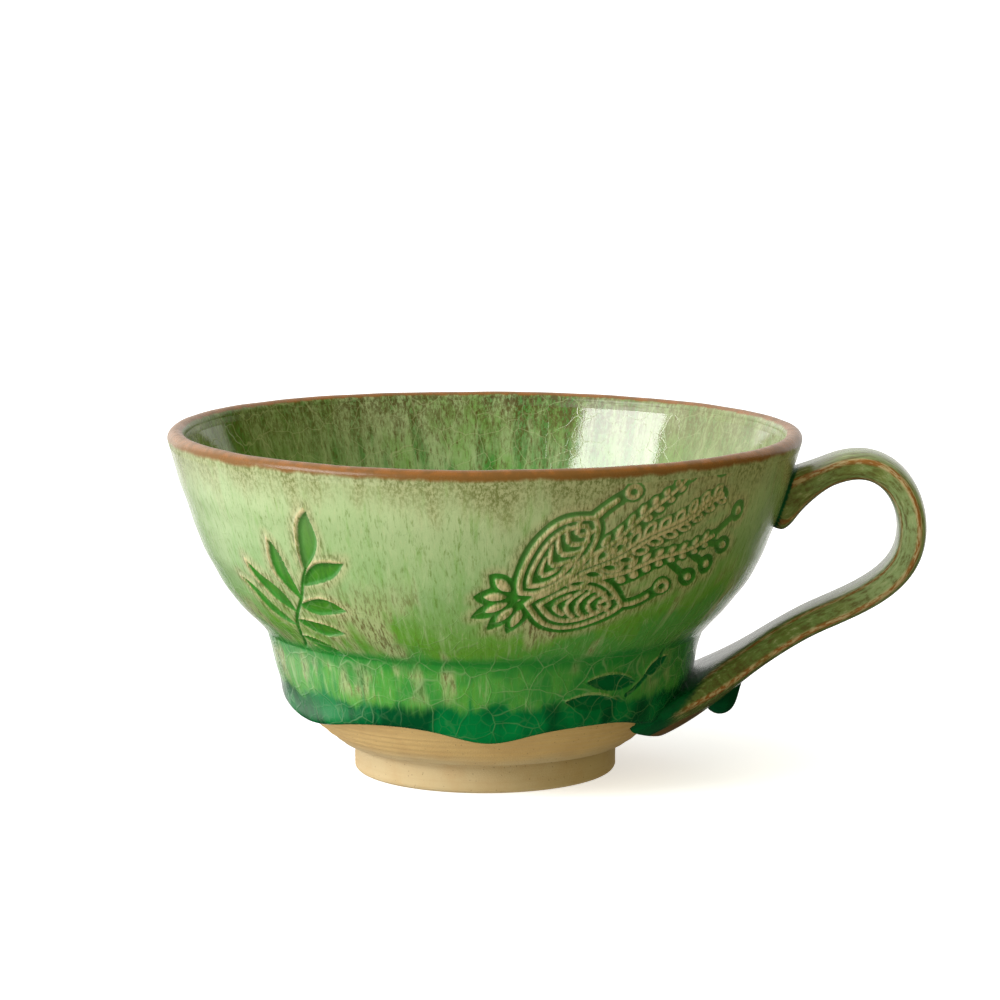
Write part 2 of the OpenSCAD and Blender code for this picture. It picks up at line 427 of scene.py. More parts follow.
def bow(a, middle, b, steps=12):
    """A gentle curve from a to b that leans to the middle point."""
    a, middle, b = np.array(a, float), np.array(middle, float), np.array(b, float)
    t = np.linspace(0, 1, steps + 1)[:, None]
    return (1 - t) ** 2 * a + 2 * (1 - t) * t * middle + t * t * b


def leafy_relief(u, v, stem, leaves, shift, longer, wider):
    """Carved leaves by a carved stem. Each has a raised edge, shifted up and left and a little larger."""
    carved = stem
    plate = np.full(np.shape(u), FAR)
    for base, tip, width in leaves:
        carved = np.minimum(carved, leaf_distance(u, v, base, tip, width))
        base, tip = np.array(base), np.array(tip)
        edge = leaf_distance(u + shift[0], v - shift[1], base, tip + longer * (tip - base), width + wider)
        plate = np.minimum(plate, edge)
    return carved, np.maximum(plate, 0.2 - carved)


def sprig_relief(u, v):
    """A leafy sprig: carved leaves, each with a raised edge on its upper left."""
    u, v = u + 0.3 * np.sin(0.5 * v), v + 0.3 * np.sin(0.6 * u + 1.0)
    stem = bow((-8.5, -17.5), (-3.5, -7), (4.2, 4.5))
    leaves = [
        ((3.9, 4), (7.6, 16.5), 2.0), ((-0.6, -3.2), (-4.2, 9.2), 1.7), ((-3.0, -7.2), (-12.4, 3.6), 1.6),
        ((-5.2, -11.2), (-16.8, -0.6), 1.3), ((2.0, 0.6), (12.8, 6.4), 1.8), ((-1.4, -4.6), (9.6, -4.6), 1.9),
        ((-4.0, -9.4), (6.8, -11.4), 1.8), ((-6.6, -14.0), (2.2, -18.6), 1.7),
    ]
    stalk = stroke_distance(u, v, stem, 0.45, 0.25)
    return leafy_relief(u, v, stalk, leaves, (0.45, 0.4), 0.05, 0.35)


def spray_relief(u, v):
    """A flowering spray along +u: a fan of sepals, two banded pods, a leafy stem, two shoots and berries."""
    u, v = u + 0.3 * np.sin(0.55 * v + 0.3), v + 0.32 * np.sin(0.42 * u + 1.0)
    inside, line = [], []
    heart = np.array([-17.5, 0.0])
    for lean in (-58, -29, 0, 29, 58):
        way = np.array([-math.cos(math.radians(lean)), math.sin(math.radians(lean))])
        inside.append(leaf_distance(u, v, heart + 1.0 * way, heart + (10.2 - 0.02 * abs(lean)) * way, 1.9))
        line.append(leaf_distance(u, v, heart + 3.2 * way, heart + 7.2 * way, 0.75))
    for side in (-1, 1):
        base, tip = np.array([-18.5, 1.0 * side]), np.array([0.5, 11.2 * side])
        way = (tip - base) / np.linalg.norm(tip - base)
        across = np.array([-way[1], way[0]])
        pod = leaf_distance(u, v, base, tip, 6.4)
        inside.append(pod - 0.55)
        line.append(np.abs(pod + 0.95) - 0.36)
        line.append(np.maximum(np.abs(pod + 2.75) - 0.34, (u - base[0] - 16) * 0.5))
        for share, reach in ((0.30, 2.0), (0.41, 2.7), (0.52, 3.0), (0.63, 2.6), (0.74, 1.7)):
            mid = base + share * (tip - base)
            for edge in (-1, 1):
                out = across * edge
                bend = mid + way * 0.5 + out * reach * 0.6
                band = bow(mid + 0.45 * out, bend, mid + way * 2.4 + out * reach)
                line.append(stroke_distance(u, v, band, 0.34, 0.24))
        neck = bow(tip - 1.2 * way, tip + 2.5 * way, tip + [8.0, 0.4 * side])
        inside.append(stroke_distance(u, v, neck, 1.5))
        inside.append(disc_distance(u, v, neck[-1], 2.3))
        line.append(stroke_distance(u, v, neck[:-4], 0.42))
        line.append(np.abs(disc_distance(u, v, neck[-1], 1.25)) - 0.36)
    stem = bow((-15.0, 0.0), (2.0, 1.2), (27.0, 0.4))
    shoots = [
        (stem, 4.4, 4.2, 3.5), (bow((-6.0, 2.4), (8.0, 5.2), (21.5, 9.4)), 3.0, 2.9, 3.0),
        (bow((-6.0, -2.0), (9.0, -5.0), (23.0, -7.6)), 3.0, 2.9, 3.0),
    ]
    for shoot, wide, leaf, gap in shoots:
        inside.append(stroke_distance(u, v, shoot[1:], wide, wide * 0.45))
        double = np.abs(stroke_distance(u, v, shoot, 0.62, 0.4)) - 0.27
        line.append(double if wide > 3 else stroke_distance(u, v, shoot, 0.36, 0.26))
        at = run(shoot)
        ahead = np.gradient(shoot, axis=0)
        ahead = ahead / np.linalg.norm(ahead, axis=1)[:, None]
        for s in np.arange(5.5, at[-1] - 0.5, gap):
            p = along(shoot, s)
            d = np.array([np.interp(s, at, ahead[:, 0]), np.interp(s, at, ahead[:, 1])])
            n = np.array([-d[1], d[0]])
            size = leaf * (1.1 - 0.45 * s / at[-1])
            for edge in (-1, 1):
                tip = p + size * (0.8 * d + 0.66 * n * edge)
                leaflet = leaf_distance(u, v, p + 0.7 * n * edge, tip, size * 0.26)
                inside.append(leaflet - 0.5)
                line.append(leaflet + 0.14 if wide < 4 else np.abs(leaflet + 0.1) - 0.22)
    for centre, root in (
        ((14.6, -12.6), (11.0, -6.0)), ((19.8, -12.8), (16.6, -7.0)), ((25.2, -11.4), (21.0, -7.6)),
        ((30.6, -5.6), (23.8, -7.4)), ((28.4, 6.4), (20.6, 8.6)),
    ):
        inside.append(disc_distance(u, v, centre, 2.2))
        inside.append(stroke_distance(u, v, [root, centre], 0.8))
        line.append(disc_distance(u, v, centre, 0.72))
    inside, line = np.minimum.reduce(inside), np.minimum.reduce(line)
    return np.maximum(inside, 0.25 - line), np.maximum(line, inside - 0.5)


def twig_relief(u, v):
    """A small twig of plain carved leaves on the band below the waist."""
    stem = bow((-8.5, -3.4), (4.0, -4.6), (11.0, 6.0))
    leaves = [
        ((-1.0, -3.4), (-13.0, -1.4), 1.5), ((3.0, 0.0), (-8.6, 2.0), 1.6), ((5.5, 0.8), (12.2, 3.4), 1.3),
    ]
    stalk = stroke_distance(u, v, stem[5:], 0.4, 0.25)
    return leafy_relief(u, v, stalk, leaves, (0.2, 0.5), 0.0, 0.25)


# name, azimuth in degrees, height, tilt in degrees, and the drawing. The last three are on the far side
MOTIFS = [
    ("sprig", -126.0, 45.0, 0.0, sprig_relief),
    ("spray", -62.0, 51.6, 25.0, spray_relief),
    ("twig", -47.0, 23.6, 4.0, twig_relief),
    ("far sprig", 48.0, 45.0, 0.0, sprig_relief),
    ("far spray", 118.0, 51.6, 25.0, spray_relief),
    ("far twig", 132.0, 23.6, 4.0, twig_relief),
]


def relief_fields(angle, r, s, height_at):
    """Signed distances to the carving and to the raised bands, for a grid of azimuth, radius and run."""
    carved = np.full(r.shape, 3.0)
    plate = np.full(r.shape, 3.0)
    for _name, azimuth, height, tilt, drawing in MOTIFS:
        turn = turn_between(angle, azimuth)
        near = np.abs(turn) < 42
        u = np.radians(turn)[None, near] * r[:, near]
        v = s[:, near] - height_at(height)
        c, k = math.cos(math.radians(tilt)), math.sin(math.radians(tilt))
        cut, raised = drawing(u * c + v * k, v * c - u * k)
        carved[:, near] = np.minimum(carved[:, near], cut)
        plate[:, near] = np.minimum(plate[:, near], raised)
    return np.clip(carved, -3, 3), np.clip(plate, -3, 3)


def column_angles(fine=0.31, coarse=0.95):
    """Azimuths in degrees, closer together across each motif."""
    spans = {"sprig": 21, "spray": 35, "twig": 24}
    angle, angles = -180.0, []
    while angle < 180.0 - coarse / 2:
        angles.append(angle)
        inside = any(abs(turn_between(angle, m[1])) < spans[m[0].split()[-1]] for m in MOTIFS)
        angle += fine if inside else coarse
    return np.array(angles)


# ---------------------------------------------------------------- material nodes

class Nodes:
    """Short forms for building a node tree. A socket or a constant may stand for any input."""

    def __init__(self, tree):
        self.tree = tree
        tree.nodes.clear()

    def add(self, kind, inputs=None, **settings):
        """A new node. A colour of three numbers is made opaque."""
        node = self.tree.nodes.new(kind)
        for key, value in settings.items():
            setattr(node, key, value)
        for key, value in (inputs or {}).items():
            socket = node.inputs[key]
            if isinstance(value, bpy.types.NodeSocket):
                self.tree.links.new(value, socket)
            else:
                socket.default_value = (*value, 1.0) if socket.type == "RGBA" else value
        return node

    def math(self, operation, *values, clamp=False):
        return self.add(
            "ShaderNodeMath", dict(enumerate(values)), operation=operation, use_clamp=clamp
        ).outputs[0]

    def plus(self, a, b):
        return self.math("ADD", a, b)

    def times(self, a, b):
        return self.math("MULTIPLY", a, b)

    def scaled(self, a, gain, offset):
        """a times gain, plus offset."""
        return self.math("MULTIPLY_ADD", a, gain, offset)

    def vector(self, x, y, z):
        return self.add("ShaderNodeCombineXYZ", {0: x, 1: y, 2: z}).outputs[0]

    def step(self, value, low, high, to_low=0.0, to_high=1.0):
        """A smooth step of value, from to_low at low to to_high at high."""
        inputs = {"Value": value, "From Min": low, "From Max": high, "To Min": to_low, "To Max": to_high}
        return self.add("ShaderNodeMapRange", inputs, interpolation_type="SMOOTHSTEP").outputs[0]

    def mix(self, factor, a, b):
        """A colour between a and b."""
        return self.add("ShaderNodeMix", {0: factor, 6: a, 7: b}, data_type="RGBA").outputs[2]

    def between(self, factor, a, b):
        """A number between a and b."""
        return self.add("ShaderNodeMix", {0: factor, 2: a, 3: b}).outputs[0]

    def noise(self, vector, scale, detail=3.0, roughness=0.5):
        inputs = {"Vector": vector, "Scale": scale, "Detail": detail, "Roughness": roughness}
        return self.add("ShaderNodeTexNoise", inputs).outputs[0]

    def cracks(self, vector, scale, width):
        """1 on the thin lines between cells, 0 elsewhere. The width is a share of the cell."""
        inputs = {"Vector": vector, "Scale": scale}
        cells = self.add("ShaderNodeTexVoronoi", inputs, feature="DISTANCE_TO_EDGE").outputs["Distance"]
        return self.step(cells, 0.0, width, 1.0, 0.0)

    def layer(self, name):
        return self.add("ShaderNodeAttribute", attribute_name=name).outputs["Fac"]

    def ramp(self, value, stops):
        """A colour by value, through (value, colour) stops in rising order."""
        low, high = stops[0][0], stops[-1][0]
        share = self.math("DIVIDE", self.math("SUBTRACT", value, low), high - low, clamp=True)
        node = self.add("ShaderNodeValToRGB", {0: share})
        elements = node.color_ramp.elements
        while len(elements) < len(stops):
            elements.new(0.5)
        for element, (at, tone) in zip(elements, stops):
            element.position = (at - low) / (high - low)
            element.color = (*tone, 1.0)
        return node.outputs[0]


class Surface(Nodes):
    """A new material's nodes, with object coordinates in millimetres ready to use."""

    def __init__(self, name):
        self.material = bpy.data.materials.new(name)
        self.material.use_nodes = True
        super().__init__(self.material.node_tree)
        raw = self.add("ShaderNodeTexCoord").outputs["Object"]
        self.mm = self.add("ShaderNodeVectorMath", {0: raw, "Scale": 1000.0}, operation="SCALE").outputs[0]
        self.x, self.y, self.z = self.add("ShaderNodeSeparateXYZ", {0: self.mm}).outputs
        squares = self.plus(self.times(self.x, self.x), self.times(self.y, self.y))
        self.r = self.math("MAXIMUM", self.math("SQRT", squares), 0.5)
        self.ux = self.math("DIVIDE", self.x, self.r)
        self.uy = self.math("DIVIDE", self.y, self.r)

    def drum(self, radius, squeeze, shift=0.0):
        """Coordinates wrapped onto a drum, so that streaks run up the wall."""
        height = self.scaled(self.z, squeeze, shift)
        return self.vector(self.times(self.ux, radius), self.times(self.uy, radius), height)

    def finish(self, colour, roughness, height=None, depth=0.0001, specular=0.5, glow=0.0):
        """Close the material with a plain shader, bumped by a height if there is one."""
        inputs = {
            "Base Color": colour, "Roughness": roughness, "Specular IOR Level": specular,
            "Emission Color": (1.0, 1.0, 1.0), "Emission Strength": glow,
        }
        if height is not None:
            inputs["Normal"] = self.add("ShaderNodeBump", {"Height": height, "Distance": depth}).outputs[0]
        shader = self.add("ShaderNodeBsdfPrincipled", inputs)
        self.add("ShaderNodeOutputMaterial", {0: shader.outputs[0]})
        return self.material


# radii of the drums that wall patterns are wrapped on, in millimetres
OUTER_DRUM = 57.0
INNER_DRUM = 52.0
BASE_DRUM = 44.0


def hanging_runs(n, radius):
    """Runs of glaze hanging down the wall, from 0 to 1."""
    return n.noise(n.drum(radius, 0.20, 11.0), 0.26, 5.0, 0.62)


def grain_and_clouds(n, radius):
    """Brushed grain that runs up the wall, and broad clouds, each from 0 to 1."""
    fine = n.noise(n.drum(radius, 0.26), 1.9, 5.0, 0.70)
    return fine, n.noise(n.drum(radius, 0.45, 40.0), 0.085, 5.0, 0.62)


def crackle(n, scale, width):
    """Two sizes of crackle lines, from 0 to 1."""
    wobble = n.add("ShaderNodeTexNoise", {"Vector": n.mm, "Scale": 0.22, "Detail": 1.0}).outputs["Color"]
    bent = n.add("ShaderNodeVectorMath", {0: wobble, "Scale": 2.4}, operation="SCALE").outputs[0]
    bent = n.add("ShaderNodeVectorMath", {0: n.mm, 1: bent}, operation="ADD").outputs[0]
    wide = n.cracks(bent, scale, width)
    small = n.cracks(bent, scale * 2.3, width * 2.0)
    return n.math("MAXIMUM", wide, n.times(small, 0.35))


def wall_colour(n, c):
    """The wall's colour before crease, pool and carving, its fine and coarse grain, its clouds, and painted
    shade that darkens its right side.
    """
    z, ux = n.z, n.ux
    fine, clouds = grain_and_clouds(n, OUTER_DRUM)
    runs = hanging_runs(n, OUTER_DRUM)
    # the level drops further on the right side (+X), so the right of the wall takes the darker greens of the
    # lower wall: painted shade
    level = n.plus(z, n.scaled(clouds, 26.0, n.step(ux, 0.1, 0.85, -13.0, -22.0)))
    colour = n.ramp(level, [
        (22.0, c.band_green), (29.0, c.band_green), (33.0, c.low_green),
        (45.0, c.mid_green), (62.0, c.pale_green),
    ])
    # brushed grain: pale and brown hairs
    hairs = n.mix(0.45, c.speck_brown, c.low_green)
    colour = n.mix(n.step(fine, 0.50, 0.72, 0.0, 0.70), colour, hairs)
    coarse = n.noise(n.drum(OUTER_DRUM, 0.16, 70.0), 0.62, 4.0, 0.6)
    colour = n.mix(n.step(coarse, 0.52, 0.70, 0.0, 0.35), colour, c.low_green)
    colour = n.mix(n.step(coarse, 0.46, 0.30, 0.0, 0.35), colour, c.pale_green)
    pale = n.times(n.step(fine, 0.46, 0.26, 0.0, 0.45), n.step(z, 26.0, 36.0, 0.3, 1.0))
    colour = n.mix(pale, colour, n.mix(0.35, c.pale_green, c.cream))
    # thin beige patches, thick with specks
    beige = n.mix(0.5, c.cream, c.pale_green)
    patch = n.noise(n.drum(OUTER_DRUM, 0.6, 90.0), 0.10, 3.0, 0.55)
    thin = n.times(n.step(patch, 0.50, 0.62), n.times(n.step(z, 19.5, 24.0), n.step(z, 52.0, 36.0)))
    colour = n.mix(n.times(thin, 0.6), colour, beige)
    colour = n.mix(n.times(thin, n.step(fine, 0.47, 0.60, 0.0, 0.75)), colour, c.speck_brown)
    # brown fade under the lip
    fade = n.plus(z, n.scaled(runs, 18.0, n.scaled(clouds, 14.0, -14.5)))
    colour = n.mix(n.step(fade, 60.0, 71.0, 0.0, 0.75), colour, beige)
    specks = n.noise(n.drum(OUTER_DRUM, 0.6), 1.9, 4.0, 0.7)
    brown = n.times(n.step(fade, 59.0, 71.0), n.step(specks, 0.40, 0.62, 0.20, 0.82))
    colour = n.mix(brown, colour, n.mix(0.25, c.speck_brown, c.low_green))
    return colour, fine, coarse, clouds


def outer_glaze_material(c):
    """Crackled green glaze: brown specks under the lip, pale on the wall, emerald where it pools, and darker
    on the right side as painted shade.
    """
    n = Surface("outer_glaze")
    mm, z, ux = n.mm, n.z, n.ux
    colour, fine, coarse, clouds = wall_colour(n, c)
    # the waist crease and the pool hold thick glaze
    low_run = n.noise(n.drum(BASE_DRUM, 0.13, 5.0), 0.36, 6.0, 0.6)
    tint = n.noise(mm, 0.16, 2.0)
    # the band below the waist takes pooled greens in noise patches, and more toward the right side (+X) as
    # painted shade
    pooling_and_painted_shade = n.plus(n.step(tint, 0.45, 0.62, 0.0, 0.5), n.step(ux, 0.1, 0.7, 0.0, 0.4))
    band = n.times(n.step(z, 33.0, 29.5), pooling_and_painted_shade)
    colour = n.mix(band, colour, n.mix(0.5, c.waist_green, c.pool_green))
    crease = n.times(n.step(n.scaled(low_run, -4.0, z), 24.5, 27.4), n.step(z, 31.6, 29.6))
    colour = n.mix(n.times(crease, n.step(clouds, 0.34, 0.52, 0.55, 0.95)), colour, c.waist_green)
    pool = n.step(n.scaled(low_run, -4.5, n.scaled(tint, -5.0, z)), 16.9, 14.3)
    deep = n.noise(n.vector(n.plus(n.x, 60.0), n.y, n.times(z, 0.6)), 0.09, 3.0)
    pooled = n.mix(n.step(deep, 0.40, 0.60, 0.0, 0.9), c.pool_green, c.deep_green)
    colour = n.mix(pool, colour, pooled)
    streak = n.times(n.step(low_run, 0.52, 0.70), n.step(z, 31.0, 22.0))
    colour = n.mix(n.times(streak, 0.6), colour, c.pool_green)
    # carving
    rough_edge = n.scaled(n.noise(mm, 1.5, 3.0), 0.5, -0.25)
    raised = n.plus(n.layer("plate"), rough_edge)
    carved = n.plus(n.layer("carved"), n.times(rough_edge, 0.6))
    near = n.times(n.step(n.math("MINIMUM", carved, raised), 2.6, 0.3), n.step(z, 31.0, 36.0))
    halo = n.mix(n.step(fine, 0.44, 0.60, 0.1, 0.9), n.mix(0.35, c.cream, c.pale_green), c.speck_brown)
    colour = n.mix(n.times(near, 0.55), colour, halo)
    hollow = n.mix(n.step(carved, -1.5, -0.2), c.carved_green, n.mix(0.45, c.carved_green, c.waist_green))
    hollow = n.mix(n.step(coarse, 0.42, 0.62, 0.0, 0.6), hollow, n.mix(0.5, c.carved_green, c.deep_green))
    hollow = n.mix(n.step(z, 46.0, 60.0, 0.0, 0.16), hollow, c.pale_green)
    hollow = n.mix(n.step(z, 33.0, 27.0), hollow, n.mix(0.5, c.pool_green, c.deep_green))
    colour = n.mix(n.step(carved, 0.22, -0.1), colour, hollow)
    dirt = n.scaled(clouds, 0.4, fine)
    cream = n.mix(n.step(dirt, 0.60, 0.84, 0.0, 0.85), c.cream, n.mix(0.45, c.speck_brown, c.low_green))
    low_relief = n.step(z, 27.0, 34.0, 0.35, 0.90)
    colour = n.mix(n.times(n.step(raised, 0.16, -0.12), low_relief), colour, cream)
    # crackle, light on the wall
    lines = n.times(crackle(n, 0.17, 0.034), n.step(z, 52.0, 26.0, 0.25, 1.0))
    glint = n.mix(pool, n.mix(0.35, c.pale_green, c.waist_green), n.mix(0.3, c.pool_green, c.pale_green))
    colour = n.mix(n.times(lines, n.step(tint, 0.36, 0.60, 0.12, 0.42)), colour, glint)
    # thin rim of glaze along the lower edge
    thin_edge = n.mix(0.5, c.base_clay, c.lip_brown)
    colour = n.mix(n.step(n.layer("above"), 0.55, 0.1, 0.0, 0.8), colour, thin_edge)
    height = n.scaled(fine, 0.5, n.noise(mm, 0.3, 2.0))
    height = n.plus(height, n.times(lines, 0.5))
    rough = n.scaled(n.step(fine, 0.5, 0.75), 0.10, 0.035)
    return n.finish(colour, rough, height, 0.00010)


def inner_colour(n, c):
    """The inside's colour, its fine grain and its crackle: deep and streaked, paler below the lip, with
    painted shade on its left and painted light on its right.
    """
    z, ux = n.z, n.ux
    fine, clouds = grain_and_clouds(n, INNER_DRUM)
    runs = hanging_runs(n, INNER_DRUM)
    colour = n.ramp(z, [
        (10.0, c.pool_green), (20.0, c.low_green), (46.0, c.mid_green), (66.0, c.pale_green)
    ])
    wall = n.step(n.r, 14.0, 30.0)
    colour = n.mix(n.times(n.step(clouds, 0.42, 0.62, 0.0, 0.75), wall), colour, c.low_green)
    colour = n.mix(n.times(n.step(runs, 0.46, 0.64, 0.0, 0.7), wall), colour, c.waist_green)
    colour = n.mix(n.times(n.step(fine, 0.46, 0.70, 0.0, 0.8), wall), colour, c.speck_brown)
    specks = n.noise(n.drum(OUTER_DRUM, 0.5), 1.6, 4.0, 0.75)
    top = n.times(n.step(n.scaled(runs, 26.0, z), 66.0, 84.0), n.step(specks, 0.40, 0.58, 0.1, 0.9))
    colour = n.mix(top, colour, c.speck_brown)
    # painted shade darkens the left of the inside wall and painted light pales its right side high up,
    # standing for the lamp's fall of light
    painted_shade, light = n.mix(0.5, c.speck_brown, c.low_green), n.mix(0.4, c.pale_green, c.cream)
    colour = n.mix(n.times(n.step(ux, -0.3, -0.9, 0.0, 0.45), wall), colour, painted_shade)
    colour = n.mix(n.times(n.step(ux, 0.0, 0.8, 0.0, 0.40), n.step(z, 36.0, 60.0)), colour, light)
    lines = crackle(n, 0.17, 0.022)
    colour = n.mix(n.times(lines, 0.42), colour, n.mix(0.3, c.pale_green, c.cream))
    return colour, fine, lines


def inner_glaze_material(c):
    """Glossy green glaze inside, with raised crackle lines."""
    n = Surface("inner_glaze")
    colour, fine, lines = inner_colour(n, c)
    height = n.scaled(fine, 0.12, n.noise(n.mm, 0.12, 2.0))
    height = n.plus(height, n.times(lines, 0.12))
    return n.finish(colour, n.scaled(fine, 0.05, 0.02), height, 0.00008)


def lip_material(c):
    """Iron-brown glaze outside and over the lip, with a dark lower line; green again just inside."""
    n = Surface("lip_glaze")
    around = n.layer("around")
    mottle = n.noise(n.mm, 0.4, 5.0, 0.6)
    dark = n.mix(0.55, c.lip_brown, c.speck_brown)
    colour = n.mix(n.step(mottle, 0.38, 0.62, 0.0, 0.75), c.lip_brown, dark)
    edge = n.scaled(mottle, 0.10, around)
    colour = n.mix(n.times(n.step(edge, 0.40, 0.32), 0.75), colour, dark)
    below = wall_colour(n, c)[0]
    colour = n.mix(n.step(n.scaled(hanging_runs(n, OUTER_DRUM), 0.16, around), 0.34, 0.24), colour, below)
    inner = inner_colour(n, c)[0]
    colour = n.mix(n.step(edge, 0.66, 0.72), colour, inner)
    rough = n.scaled(mottle, 0.25, 0.16)
    return n.finish(colour, rough, mottle, 0.00008, specular=0.25)


def handle_glaze_material(c):
    """Mottled olive glaze on the strap, tan where it breaks over the edges, deep where it pools."""
    n = Surface("handle_glaze")
    mm = n.mm
    lengthways, across = n.times(n.layer("travel"), 0.25), n.times(n.layer("around"), 1.2)
    grain = n.noise(n.vector(lengthways, across, n.y), 1.6, 5.0, 0.66)
    mottle = n.noise(mm, 0.16, 4.0, 0.6)
    share = n.layer("share")
    far = n.times(n.step(share, 0.28, 0.48), n.step(share, 0.74, 0.62))
    green_olive = n.mix(0.5, c.handle_olive, c.mid_green)
    colour = n.mix(n.step(mottle, 0.36, 0.66, 0.0, 0.7), c.handle_olive, green_olive)
    colour = n.mix(n.times(far, 0.5), colour, n.mix(0.6, c.mid_green, c.pale_green))
    colour = n.mix(n.step(share, 0.66, 0.80, 0.0, 0.5), colour, n.mix(0.5, c.speck_brown, c.carved_green))
    colour = n.mix(n.step(grain, 0.45, 0.66, 0.0, 0.75), colour, c.speck_brown)
    colour = n.mix(n.step(grain, 0.46, 0.30, 0.0, 0.45), colour, n.mix(0.5, c.pale_green, c.cream))
    tan = n.times(n.step(n.layer("ridge"), 0.25, 0.85), n.step(mottle, 0.34, 0.50, 0.5, 0.95))
    edge = n.mix(n.step(grain, 0.42, 0.56), n.mix(0.3, c.cream, c.lip_brown), c.lip_brown)
    colour = n.mix(tan, colour, edge)
    deep = n.mix(n.step(mottle, 0.40, 0.62), n.mix(0.65, c.pool_green, c.deep_green), c.deep_green)
    colour = n.mix(n.step(n.scaled(grain, 0.4, n.layer("pool")), 0.50, 0.95), colour, deep)
    bare = n.step(n.scaled(mottle, 0.2, n.layer("bare")), 0.45, 0.62)
    scorched = n.mix(n.step(grain, 0.4, 0.65, 0.4, 0.9), c.lip_brown, c.speck_brown)
    colour = n.mix(n.times(bare, 0.9), colour, scorched)
    height = n.scaled(grain, 0.6, n.noise(mm, 0.4, 2.0))
    rough = n.plus(n.times(grain, 0.12), n.scaled(bare, 0.45, 0.10))
    return n.finish(colour, rough, height, 0.00008)


def drip_material(c):
    """A bead of thick dark green glaze."""
    n = Surface("drip_glaze")
    depth = n.noise(n.mm, 0.35, 3.0)
    colour = n.mix(n.step(depth, 0.4, 0.7), c.deep_green, n.mix(0.12, c.deep_green, c.pool_green))
    return n.finish(colour, 0.07, depth, 0.00005)


def clay_material(name, pale, flashed, low, high, c):
    """Bare stoneware: fine sandy grain, dark specks and faint turning lines, flashed orange by height."""
    n = Surface(name)
    mm, z, r = n.mm, n.z, n.r
    wander = n.scaled(n.noise(mm, 0.12, 3.0), 3.0, -1.5)
    colour = n.mix(n.step(n.plus(z, wander), low, high), pale, flashed)
    blotch = n.noise(mm, 0.16, 4.0, 0.6)
    colour = n.mix(n.step(blotch, 0.4, 0.7, 0.0, 0.3), colour, n.mix(0.5, flashed, c.lip_brown))
    grain = n.noise(mm, 3.0, 4.0, 0.7)
    colour = n.mix(n.step(grain, 0.45, 0.7, 0.0, 0.25), colour, c.cream)
    specks = n.add("ShaderNodeTexVoronoi", {"Vector": mm, "Scale": 0.9}, feature="F1").outputs["Distance"]
    colour = n.mix(n.times(n.step(specks, 0.16, 0.06), 0.5), colour, c.speck_brown)
    lines = n.noise(n.vector(n.times(r, 1.6), 0.0, n.times(z, 1.6)), 1.0, 3.0, 0.6)
    colour = n.mix(n.step(lines, 0.5, 0.7, 0.0, 0.22), colour, n.mix(0.4, flashed, c.speck_brown))
    height = n.plus(n.times(lines, 0.8), grain)
    return n.finish(colour, n.scaled(grain, 0.2, 0.68), height, 0.00010, specular=0.3)


def flashed_clay(name, c):
    """Clay of the strap and its slip, flashed orange all over."""
    return clay_material(name, c.base_clay, c.base_clay, 5, 9, c)


# ---------------------------------------------------------------- operators

class TeacupClay(bpy.types.Operator):
    """Make the clay bowl and its foot ring"""

    bl_idname = "teacup.clay"
    bl_label = "Clay Bowl and Foot"

    def execute(self, context):
        b, c = context.scene.teacup_bowl, context.scene.teacup_colours
        lower, upper = clay_outside(b)
        outer, top = b.foot_radius / MM, b.foot_height / MM
        outline = np.concatenate([
            [[0, top], [outer, top], lower[0] - [0.5, 0], lower[0] + [-0.12, 0.1]],
            lower[1:], upper[1:], lip_arc(b)[1:], clay_inside(b, upper), [[0, b.floor_height / MM]],
        ])

        def trimmed(ring, angle):
            """Trimming lines cut round the base in a slow spiral."""
            z = ring[:, 1:]
            spiral = z * 2.1 * 2 * math.pi + angle[None, :]
            rings = 0.05 * np.sin(spiral) + 0.06 * np.sin(spiral * 0.37 + np.sin(2 * angle))
            return rings * ease((ring[:, :1] - 27.5) / 2) * ease((17 - z) / 3)

        bowl = turned("clay_bowl", outline, 256, trimmed)
        bowl.data.materials.append(
            clay_material("clay_base", c.foot_clay, c.base_clay, 6.0, 9.5, c)
        )
        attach(bowl, "root")
        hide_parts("bowl")

        inner, recess, edge = outer - b.foot_land / MM, b.foot_recess / MM, 0.9
        a = np.radians(np.linspace(0, 90, 8))
        round_out = np.stack([outer - edge + edge * np.sin(a), edge - edge * np.cos(a)], axis=1)
        round_in = np.stack([inner + edge - edge * np.sin(a), edge - edge * np.cos(a)], axis=1)[::-1]
        hollow = [[0, recess], [inner * 0.5, recess], [inner - 2.2, recess], [inner - 0.6, recess - 0.35]]
        side = np.stack([np.linspace(outer, outer + 0.05, 14), np.linspace(edge + 0.1, top, 14)], axis=1)
        outline = np.concatenate([hollow, round_in, round_out, side, [[0, top]]])

        def sandy(ring, angle):
            """A slightly uneven turned ring."""
            z = ring[:, 1:]
            wave = 0.06 * np.sin(3 * angle + 1) + 0.04 * np.sin(7 * angle + 2 + z)
            groove = 0.035 * np.sin(2 * math.pi * z * 1.3 + angle)
            return (wave + groove) * ease((ring[:, :1] - outer + 1.5) / 1.0) * ease((z - 0.3) / 1.0) - 0.02

        ring = turned("clay_foot_ring", outline, 256, sandy)
        ring.data.materials.append(
            clay_material("clay_foot", c.foot_clay, c.base_clay, 5.2, 9.0, c)
        )
        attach(ring, "root")
        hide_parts("foot_ring")
        return {"FINISHED"}


